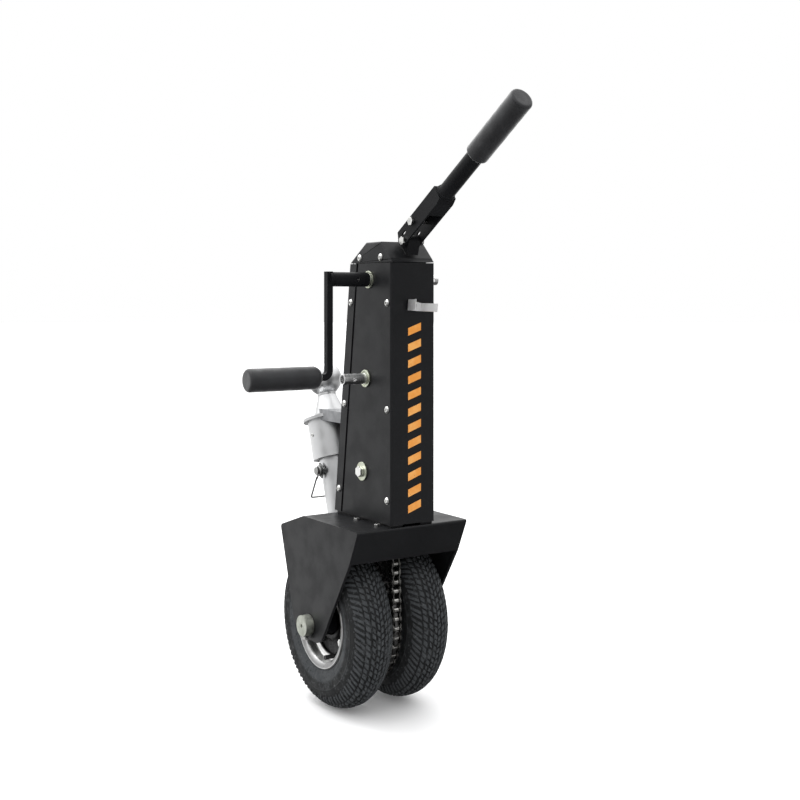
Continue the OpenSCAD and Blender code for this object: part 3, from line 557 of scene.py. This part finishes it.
def finish_piece(name, bm, slot, body, stands_for=(), sharp=34, place=None, look=None):
    """Turns a bmesh in millimetres into a dressed piece that rides on a body."""
    bmesh.ops.recalc_face_normals(bm, faces=bm.faces)
    for face in bm.faces:
        face.smooth = True
    mesh = bpy.data.meshes.new(name)
    bm.to_mesh(mesh)
    bm.free()
    mesh.transform(Matrix.Scale(MM, 4))
    if place is not None:
        mesh.transform(place)
    mesh.set_sharp_from_angle(angle=math.radians(sharp))
    mesh.materials.append(MATERIALS[look or slot])
    piece = bpy.data.objects.new(name, mesh)
    bpy.context.scene.collection.objects.link(piece)
    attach(piece, body)
    if stands_for:
        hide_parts(*stands_for)
    return piece


def lathe(bm, profile, centre, turns=96):
    """Closed ring of (x, radius) points spun about the X axis through centre."""
    cx, cy, cz = centre
    rings = []
    for i in range(turns):
        angle = 2 * math.pi * i / turns
        c, s = math.cos(angle), math.sin(angle)
        rings.append([bm.verts.new((cx + x, cy + r * c, cz + r * s)) for x, r in profile])
    count = len(profile)
    for i in range(turns):
        a, b = rings[i], rings[(i + 1) % turns]
        for j in range(count):
            k = (j + 1) % count
            bm.faces.new((a[j], a[k], b[k], b[j]))


def loft(bm, rings):
    """Skins equal rings of points and caps both ends."""
    rows = [[bm.verts.new(p) for p in ring] for ring in rings]
    count = len(rows[0])
    for a, b in zip(rows, rows[1:]):
        for j in range(count):
            k = (j + 1) % count
            bm.faces.new((a[j], a[k], b[k], b[j]))
    bm.faces.new(rows[0][::-1])
    bm.faces.new(rows[-1])


def smooth_path(points, radius, steps=5):
    """The points with every inner corner rounded to a radius."""
    points = [Vector(p) for p in points]
    path = [points[0]]
    for before, corner, after in zip(points, points[1:], points[2:]):
        u, v = (before - corner).normalized(), (after - corner).normalized()
        half = u.angle(v) / 2
        reach = min(radius / math.tan(half), 0.49 * (before - corner).length, 0.49 * (after - corner).length)
        start, end = corner + u * reach, corner + v * reach
        for i in range(steps + 1):
            t = i / steps
            path.append(start.lerp(corner, t).lerp(corner.lerp(end, t), t))
    path.append(points[-1])
    return path


def fillet(before, corner, after, radius, steps):
    """Points of the arc that rounds one corner."""
    u, v = (before - corner).normalized(), (after - corner).normalized()
    half = u.angle(v) / 2
    middle = corner + (u + v).normalized() * radius / math.sin(half)
    start, end = corner + u * radius / math.tan(half) - middle, corner + v * radius / math.tan(half) - middle
    return [middle + start.slerp(end, i / steps) for i in range(steps + 1)]


def tube(bm, path, radius, sides=12, scale=None):
    """Round tube along a path; scale(i) may change its radius at each point."""
    path = [Vector(p) for p in path]
    side = None
    rings = []
    for i, point in enumerate(path):
        ahead = path[min(i + 1, len(path) - 1)] - path[max(i - 1, 0)]
        ahead.normalize()
        if side is None:
            side = ahead.orthogonal().normalized()
        side = (side - ahead * side.dot(ahead)).normalized()
        up = ahead.cross(side)
        r = radius * (scale(i) if scale else 1)
        turn = [2 * math.pi * j / sides for j in range(sides)]
        rings.append([point + (side * math.cos(a) + up * math.sin(a)) * r for a in turn])
    loft(bm, rings)


def prism(bm, outline, x0, x1):
    """Flat outline in (y, z), extruded along X."""
    loft(bm, [[(x, y, z) for y, z in outline] for x in (x0, x1)])


# ---------------------------------------------------------------- tyres

LUGS = 84
BEAD = (24.4, 61.2)


def section_point(phi, height):
    """(x, radius) on the tyre's section; phi is 0 at the crown and 90 at the sidewall, in degrees."""
    half_x, half_r = CARCASS_HALF
    a = math.radians(phi)
    x, r = half_x * math.sin(a), half_r * math.cos(a)
    out = Vector((math.sin(a) / half_x, math.cos(a) / half_r)).normalized()
    return x + out.x * height, CARCASS_MID + r + out.y * height


def sidewall_height(phi):
    """Relief of the smooth sidewall: two thin ribs and a shallow band between them."""
    ribs = sum(math.exp(-(((phi - at) / 1.1) ** 2)) for at in (84, 100))
    return 0.55 * ribs


def tyre_profile():
    """Closed section: outer carcass, lower sidewalls down to the beads, and the hollow inside."""
    outer = []
    for i in range(97):
        phi = -96 + 2 * i
        outer.append(section_point(phi, sidewall_height(abs(phi))))
    edge_x, edge_r = outer[-1]
    lower = []
    for i in range(1, 15):
        t = i / 14
        x = BEAD[0] + (edge_x - BEAD[0]) * math.cos(t * math.pi / 2) ** 0.85
        r = edge_r + (BEAD[1] - edge_r) * t
        lower.append((x + 0.7 * math.exp(-(((t - 0.62) / 0.05) ** 2)), r))
    inner = [(BEAD[0] - 3, BEAD[1] - 3), (12, 70), (0, 74)]
    half = lower + inner[:2]
    mirrored = [(-x, r) for x, r in reversed(half)]
    return mirrored + outer + half + [inner[2]]


def lug(bm, centre, theta, span, slant, width, height):
    """One rounded tread block from span[0] to span[1] degrees of section."""
    rows = 6
    cx, cy, cz = centre
    sink, draft = -1.0, 1.5
    brow = height * 0.62
    across = ((-1, sink), (-0.9, brow), (-0.66, height), (0.66, height), (0.9, brow), (1, sink))
    rings = []
    for i in range(rows + 1):
        t = i / rows
        phi = span[0] + (span[1] - span[0]) * t
        shift = math.radians(slant * (t - 0.5))
        end = i in (0, rows)
        inset = math.copysign(draft, span[1] - span[0]) * (1 if i == 0 else -1) if end else 0
        ring = []
        for w, h in across:
            x, r = section_point(phi + (inset if h > 0 else 0), h * (0.86 if end and h > 0 else 1))
            a = math.radians(theta) + shift + w * width / 2 / r
            ring.append((cx + x, cy + r * math.cos(a), cz + r * math.sin(a)))
        rings.append(ring)
    loft(bm, rings)


# Rows of blocks on each half of the tread: two spans in degrees used in turn, slant, offset, widths, height
TREAD = [
    (((0.3, 8.6), (0.3, 10.4)), -1.8, 0.0, (7.4, 6.2), 1.7),
    (((13, 20.6), (11.4, 22.4)), -2.4, 0.42, (6.1, 7.3), 1.7),
    (((23.4, 36.8), (25.4, 37.6)), -2.8, 0.1, (7.2, 6.5), 1.5),
    (((38.4, 68), (38.4, 65)), -5.0, 0.55, (4.5, 4.8), 1.25),
]


def tyre(name, side):
    """Carcass and tread; the tread runs the same way on both tyres."""
    bm = bmesh.new()
    centre = (side * WHEEL_X, 0, TYRE_R)
    lathe(bm, tyre_profile(), centre, 180)
    step = 360 / LUGS
    for i in range(LUGS):
        for hand in (-1, 1):
            for spans, slant, offset, widths, height in TREAD:
                low, high = spans[i % 2]
                stray = noise.noise((i * 1.7, low * 0.9, hand * 5.3))
                turn = i + offset + 0.12 * stray + (0.5 if hand > 0 else 0)
                wide, tall = widths[i % 2] * (1 + 0.12 * stray), height * (1 + 0.12 * stray)
                lug(bm, centre, turn * step, (hand * low, hand * high), slant, wide, tall)
    finish_piece(name, bm, "tyre_rubber", "wheels", [name.replace("_tread", "")], 40)


# ---------------------------------------------------------------- rims

RIM_SHEET = 1.7
# Middle line of the sheet as (x, radius), from the outer lip inwards
RIM_PATH = [
    (-24.6, 60.6), (-25.5, 60.9), (-26.0, 60.2), (-25.9, 58.6), (-25.2, 56.4), (-24.0, 54.4), (-22.2, 53.0),
    (-19.6, 52.4), (-13.0, 52.1), (-11.2, 51.2), (-10.2, 49.6), (-9.6, 47.6), (-8.6, 46.0), (-7.2, 45.2),
    (-5.6, 44.6), (-5.5, 43.2), (-5.5, 30.0), (-5.9, 27.6), (-7.4, 25.8), (-8.6, 24.6), (-9.0, 23.0),
    (-9.0, 19.5), (-8.8, 18.6),
]
BARREL_PATH = [
    (-13.0, 52.0), (-6.0, 51.6), (6.0, 51.6), (14.0, 51.8), (19.6, 52.4), (22.2, 53.0), (24.0, 54.4),
    (25.2, 56.4), (25.9, 58.6), (26.0, 60.2), (25.5, 60.9), (24.6, 60.6),
]


def sheet_ring(path, thick):
    """Closed outline of a sheet that follows a path of (x, radius) points."""
    points = [Vector(p) for p in path]
    left, right = [], []
    for i, p in enumerate(points):
        along = points[min(i + 1, len(points) - 1)] - points[max(i - 1, 0)]
        off = Vector((-along.y, along.x)).normalized() * thick / 2
        left.append(tuple(p + off))
        right.append(tuple(p - off))
    return left + right[::-1]


def rim(name, side):
    """Pressed dish with a rolled flange, and the barrel behind it."""
    bm = bmesh.new()
    centre = (side * WHEEL_X, 0, TYRE_R)
    for path in (RIM_PATH, BARREL_PATH):
        outline = [(-side * x, r) for x, r in sheet_ring(path, RIM_SHEET)]
        lathe(bm, outline, centre, 128)
    finish_piece(name, bm, "rim_steel", "wheels", [name.replace("_spun", "")], 40)


# ---------------------------------------------------------------- chains


def pitch_radius(teeth):
    """Radius of the circle through a sprocket's roller centres."""
    return PITCH / (2 * math.sin(math.pi / teeth))


def wrap_pins(centre, teeth, start, end):
    """Pins in the tooth gaps of one sprocket between two angles, in radians."""
    step = 2 * math.pi / teeth
    radius = pitch_radius(teeth)
    first, last = math.ceil(start / step), math.floor(end / step)
    return [Vector((centre[0] + radius * math.cos(i * step), centre[1] + radius * math.sin(i * step)))
            for i in range(first, last + 1)]


def run_pins(a, b, odd=0):
    """Evenly spread pins strictly between two others; odd adds or drops one link."""
    count = max(1, round((b - a).length / PITCH) + odd)
    return [a.lerp(b, i / count) for i in range(1, count)]


def chain_pins(low, low_teeth, high, high_teeth):
    """Pin centres round the whole loop, an even number of them."""
    low, high = Vector(low), Vector(high)
    lean = math.atan2(high.y - low.y, high.x - low.x)
    open_half = math.acos((pitch_radius(low_teeth) - pitch_radius(high_teeth)) / (high - low).length)
    bottom = wrap_pins(low, low_teeth, lean + open_half, lean + 2 * math.pi - open_half)
    top = wrap_pins(high, high_teeth, lean - open_half, lean + open_half)
    for odd in (0, 1):
        pins = bottom + run_pins(bottom[-1], top[0]) + top + run_pins(top[-1], bottom[0], odd)
        if len(pins) % 2 == 0:
            return pins


def link_plate(bm, a, b, x0, x1, big, waist):
    """Figure-of-eight side plate from pin a to pin b."""
    along = (b - a).normalized()
    across = Vector((-along.y, along.x))
    outline = []
    for end, sign in ((a, -1), (b, 1)):
        for i in range(9):
            w = math.radians(-112 + 28 * i)
            outline.append(end + (along * math.cos(w) + across * math.sin(w)) * big * sign)
        middle = (a + b) / 2
        outline.append(middle + across * waist * sign)
    prism(bm, outline, x0, x1)


def round_pin(bm, plane_x, pin, bands):
    """Turned pin along X at a chain pin, from (x, radius) bands."""
    turn = [2 * math.pi * j / 16 for j in range(16)]
    rings = []
    for x, r in bands:
        rings.append([(plane_x + x, pin.x + r * math.cos(a), pin.y + r * math.sin(a)) for a in turn])
    loft(bm, rings)


def roller_chain(name, node, plane_x, low, low_teeth, high, high_teeth):
    """Rollers, inner and outer side plates and riveted pins, all round the loop."""
    plates, rollers = bmesh.new(), bmesh.new()
    pins = chain_pins(low, low_teeth, high, high_teeth)
    for i, pin in enumerate(pins):
        following = pins[(i + 1) % len(pins)]
        inner = i % 2 == 0
        near, far = (4.05, 5.35) if inner else (5.5, 6.7)
        for side in (-1, 1):
            x0, x1 = sorted((plane_x + side * near, plane_x + side * far))
            link_plate(plates, pin, following, x0, x1, 5.6 if inner else 5.2, 3.9 if inner else 3.3)
        round_pin(rollers, plane_x, pin, [(-3.9, 3.6), (-3.6, ROLLER_R), (3.6, ROLLER_R), (3.9, 3.6)])
        round_pin(plates, plane_x, pin, [(-7.5, 1.3), (-7.2, 1.75), (7.2, 1.75), (7.5, 1.3)])
    finish_piece(name, plates, "chain_steel", "frame", [node], 38)
    # The rollers take the lighter copy of the chain steel, a painted highlight.
    rollers_name = name.replace("chain", "rollers")
    finish_piece(rollers_name, rollers, "chain_steel", "frame", [node], 38, look="highlit_roller_steel")


# ---------------------------------------------------------------- grips

GRIP_R = 15.0


def foam_profile(length, round_closed, round_open, bore, depth):
    """(along, radius) outline from the closed end's centre round to the bore's end."""
    flat = GRIP_R - round_closed
    outline = [(0.0, flat * k / 4) for k in (0, 1, 2, 3, 4)]
    for i in range(1, 13):
        a = math.radians(90 * i / 12)
        outline.append((round_closed * (1 - math.cos(a)), flat + round_closed * math.sin(a)))
    rows = int(length / 1.6)
    start, end = round_closed, length - round_open
    outline += [(start + (end - start) * i / rows, GRIP_R) for i in range(1, rows)]
    for i in range(0, 13):
        a = math.radians(90 * i / 12)
        outline.append((end + round_open * math.sin(a), GRIP_R - round_open + round_open * math.cos(a)))
    return outline + [(length, bore), (length - depth, bore), (length - depth, 0.0)]


def foam_grip(name, body, node, length, round_closed, round_open, bore, depth, place):
    """Foam sleeve; its skin wavers by a tenth of a millimetre or so.

    length, round_closed and round_open shape the outside; bore and depth are the hole's radius and length.
    """
    bm = bmesh.new()
    turns = 72
    rows = []
    for along, radius in foam_profile(length, round_closed, round_open, bore, depth):
        ring = []
        for j in range(turns):
            a = 2 * math.pi * j / turns
            spot = Vector((along, radius * math.cos(a), radius * math.sin(a)))
            if radius > bore + 0.5 or along < length - depth - 1:
                swell = 0.16 * noise.noise(spot * 0.11) + 0.07 * noise.noise(spot * 0.6)
                spot.yz = spot.yz * (1 + swell / max(radius, 6))
            ring.append(spot)
        rows.append(ring)
    cap_start, cap_end = rows[0][0].copy(), rows[-1][0].copy()
    skin = [[bm.verts.new(p) for p in ring] for ring in rows[1:-1]]
    for a, b in zip(skin, skin[1:]):
        for j in range(turns):
            k = (j + 1) % turns
            bm.faces.new((a[j], a[k], b[k], b[j]))
    for tip, ring in ((cap_start, skin[0]), (cap_end, skin[-1])):
        centre = bm.verts.new((tip.x, 0, 0))
        for j in range(turns):
            bm.faces.new((centre, ring[j], ring[(j + 1) % turns]))
    grip = finish_piece(name, bm, "grip_foam", body, [node], 50, place)


def handle_place(along, rise):
    """Places a piece drawn from a point on the handle's axis, running back towards the casing along +X."""
    up = math.radians(HANDLE_UP)
    forward = Vector((0, -math.cos(up), math.sin(up)))
    above = Vector((0, math.sin(up), math.cos(up)))
    start = (Vector(FOLD) + forward * along + above * rise) * MM
    axes = Matrix((-forward, above, (-forward).cross(above))).transposed().to_4x4()
    return Matrix.Translation(start) @ axes


# ---------------------------------------------------------------- small formed parts


CLIP_Z, CLIP_TILT, CLIP_HIGH, CLIP_THICK, CLIP_NOTCH = 547.5, 5, 14.0, 1.2, 3.2
# Right half of the clip as ((x, distance out), bend radius)
CLIP_BENDS = [((0, 0.6), 0), ((11.5, 0.6), 3.5), ((16.2, 12), 7), ((11.3, 22.5), 3), ((17, 31), 0)]


def spring_clip():
    """One bright strip bent into an open ring: flat back, two bowed jaws, two flared lips, one jaw lower."""
    half = [Vector((x, -out, 0)) for (x, out), _ in CLIP_BENDS]
    line = [half[0]]
    for i in range(1, len(half) - 1):
        line += fillet(half[i - 1], half[i], half[i + 1], CLIP_BENDS[i][1], 6)
    line.append(half[-1])
    line = [Vector((-p.x, p.y, 0)) for p in reversed(line[1:])] + line
    ease = 0.35
    bm = bmesh.new()
    rings = []
    for i, p in enumerate(line):
        along = line[min(i + 1, len(line) - 1)] - line[max(i - 1, 0)]
        off = Vector((-along.y, along.x, 0)).normalized() * CLIP_THICK / 2
        low, high = -CLIP_HIGH / 2, CLIP_HIGH / 2 - CLIP_NOTCH * min(1, max(0, (p.x + 4) / 12))
        edge = ((1, low + ease), (1, high - ease), (0.4, high), (-0.4, high),
                (-1, high - ease), (-1, low + ease), (-0.4, low), (0.4, low))
        rings.append([(p.x + off.x * w, p.y + off.y * w, z) for w, z in edge])
    loft(bm, rings)
    place = Matrix.Translation(Vector((0, CASE_FRONT - 0.05, CLIP_Z)) * MM)
    place @= Matrix.Rotation(math.radians(CLIP_TILT), 4, "Y")
    finish_piece("spring_clip", bm, "spring_steel", "frame", ["tool_clip"], 40, place)


CAP_HALF, CAP_SHEET = 34.25, 2.0
CAP_LOW, CAP_BROW, CAP_TOP, CAP_BACK = 604.0, 610.5, 636.0, -20.8
# How far the skin sinks towards each side edge, as (distance from the edge, sink)
CAP_ROLL = [(0.0, 2.9), (0.35, 1.55), (0.95, 0.7), (1.75, 0.18), (2.9, 0.0)]


def formed_cap():
    """Folded cap whose side edges roll over softly; it is open underneath."""
    front, brow = Vector((CASE_FRONT, CAP_LOW, 0)), Vector((CASE_FRONT, CAP_BROW, 0))
    peak, crown = Vector((CASE_FRONT + 24.5, CAP_TOP, 0)), Vector((CAP_BACK - 37.5, CAP_TOP, 0))
    rear, foot = Vector((CAP_BACK, CAP_LOW + 1.5, 0)), Vector((CAP_BACK, CAP_LOW, 0))
    line = [front, *fillet(front, brow, peak, 5, 5), *fillet(brow, peak, crown, 6, 6),
            *fillet(peak, crown, rear, 6, 6), rear, foot]
    bm = bmesh.new()
    rings = []
    for sheet in (0, CAP_SHEET):
        reach = CAP_HALF - sheet
        across = [(-reach + x, sink) for x, sink in CAP_ROLL]
        across += [(reach - x, sink) for x, sink in reversed(CAP_ROLL)]
        ring = []
        for i, p in enumerate(line):
            along = (line[min(i + 1, len(line) - 1)] - line[max(i - 1, 0)]).normalized()
            inward = Vector((along.y, -along.x, 0))
            if i in (0, len(line) - 1):
                inward = Vector((1 if i == 0 else -1, 0, 0))
            ring.append([(x, *(p + inward * (sink + sheet)).to_tuple()[:2]) for x, sink in across])
        rings.append([[bm.verts.new(q) for q in row] for row in ring])
    outer, inner = rings
    for skin in rings:
        for a, b in zip(skin, skin[1:]):
            for j in range(len(a) - 1):
                bm.faces.new((a[j], a[j + 1], b[j + 1], b[j]))
        for j in (0, -1):
            bm.faces.new([row[j] for row in skin])
    for j in range(len(outer[0]) - 1):
        for i in (0, -1):
            bm.faces.new((outer[i][j], outer[i][j + 1], inner[i][j + 1], inner[i][j]))
    for j in (0, -1):
        bm.faces.new((outer[0][j], outer[-1][j], inner[-1][j], inner[0][j]))
    finish_piece("formed_cap", bm, "black_coat", "frame", ["top_cap"], 40)


def jack_place():
    """The jack's own axes: ball centre at zero, +Z up its leaning axis."""
    return Matrix.Translation(Vector(BALL) * MM) @ Matrix.Rotation(math.radians(-LEAN), 4, "X")


def wire_bail():
    """Bent wire: an eye round the pin, a leg down beside the tube, and a bar behind it."""
    wire, eye_r, x = 1.25, 6.2, -33.0
    far = Vector((x, 33.6, -32.2 - PIN_DOWN))
    eye = Vector((x, 0, -PIN_DOWN))
    out = (far - eye).normalized()
    bm = bmesh.new()
    turns = 28
    heading = math.atan2(out.z, out.y)
    loop = []
    for i in range(turns + 1):
        a = heading + math.radians(24) + (2 * math.pi - math.radians(48)) * i / turns
        loop.append(eye + Vector((0.25 * (i / turns - 0.5), math.cos(a) * eye_r, math.sin(a) * eye_r)))
    leg = smooth_path([loop[-1], eye + out * 12, far, far + Vector((38, 0, 0))], 3.2, 6)
    tail = smooth_path([loop[0], eye + out * 11 + Vector((1.6, 0.4, 0)), eye + out * 17], 3, 4)
    tube(bm, loop + leg[1:], wire, 12)
    tube(bm, tail, wire * 0.96, 12)
    finish_piece("wire_bail", bm, "plain_steel", "bail", ["pin_bail"], 50, jack_place())


def weld_bead(bm, points, radius, pitch=1.7):
    """Ripple bead along a path of points."""
    points = [Vector(p) for p in points]
    path = []
    for a, b in zip(points, points[1:]):
        count = max(2, int((b - a).length / (pitch / 4)))
        path += [a.lerp(b, i / count) for i in range(count)]
    path.append(points[-1])
    ends = 4

    def swell(i):
        ripple = 0.9 + 0.14 * abs(math.sin(math.pi * i / 4))
        from_end = min(i, len(path) - 1 - i)
        return ripple * (0.45 + 0.55 * min(1, from_end / ends))

    tube(bm, path, radius, 8, swell)


def ring_points(centre, radius, steps):
    """Points round a circle across the X axis."""
    angles = [2 * math.pi * i / steps for i in range(steps + 1)]
    return [Vector(centre) + Vector((0, math.cos(a), math.sin(a))) * radius for a in angles]


def frame_welds():
    """Beads along the handle lug's foot and stitches inside the fork's ears."""
    bm = bmesh.new()
    start = Vector((0, CASE_FRONT, CAP_BROW))
    slope = Vector((0, 0.6928, 0.7211))
    for side in (-1, 1):
        x = side * 9.1
        weld_bead(bm, [Vector((x, 0, 0)) + start + slope * t for t in (4, 31)], 1.1)
        inner, under = side * (EAR_X - 4.4), FORK_TOP - 4.4
        for y in (-96, -58, -20):
            weld_bead(bm, [(inner, y, under), (inner, y + 24, under)], 2.3)
    finish_piece("frame_welds", bm, "black_coat", "frame", (), 60)


def crank_welds():
    """Bead where the crank bar meets its socket."""
    bm = bmesh.new()
    bar_face = -91.85
    weld_bead(bm, ring_points((bar_face, CRANK_Y, SHAFT_Z), 9.2, 48), 0.9)
    finish_piece("crank_welds", bm, "black_coat", "crank", (), 60, look="shade_darkened_black")


def handle_welds():
    """Bead where the handle tube stands on the yoke's end plate."""
    bm = bmesh.new()
    weld_bead(bm, ring_points((0, 0, 0), 12.0, 52), 1.0)
    place = handle_place(YOKE_LEN + 0.9, HANDLE_AXIS)
    finish_piece("handle_welds", bm, "black_coat", "handle", (), 60, place, "shade_darkened_black")


# ---------------------------------------------------------------- the object

dress_cad_nodes()
soften_edges()
for sign, hand in ((-1, "left"), (1, "right")):
    tyre(f"tyre_{hand}_tread", sign)
    rim(f"rim_{hand}_spun", sign)
roller_chain("main_roller_chain", "main_chain", 0, AXLE, 40, MID, 12)
roller_chain("middle_roller_chain", "middle_chain", 15, MID, 20, LOWER, 12)
roller_chain("upper_roller_chain", "upper_chain", -15, LOWER, 20, UPPER, 12)
crank_place = Matrix.Translation(Vector((GRIP_END_X, CRANK_Y, GRIP_Z)) * MM)
foam_grip("crank_foam", "hand_grip", "crank_grip", 104.1, 4, 9.6, 4.7, 96.1, crank_place)
foam_grip("handle_foam", "handle", "handle_grip", 104, 4, 2, 11.05, 97, handle_place(HANDLE_LEN, HANDLE_AXIS))
formed_cap()
spring_clip()
wire_bail()
frame_welds()
crank_welds()
handle_welds()

make_camera()
make_world()
make_stage()
make_lights()
bpy.context.scene.view_settings.view_transform = "Standard"
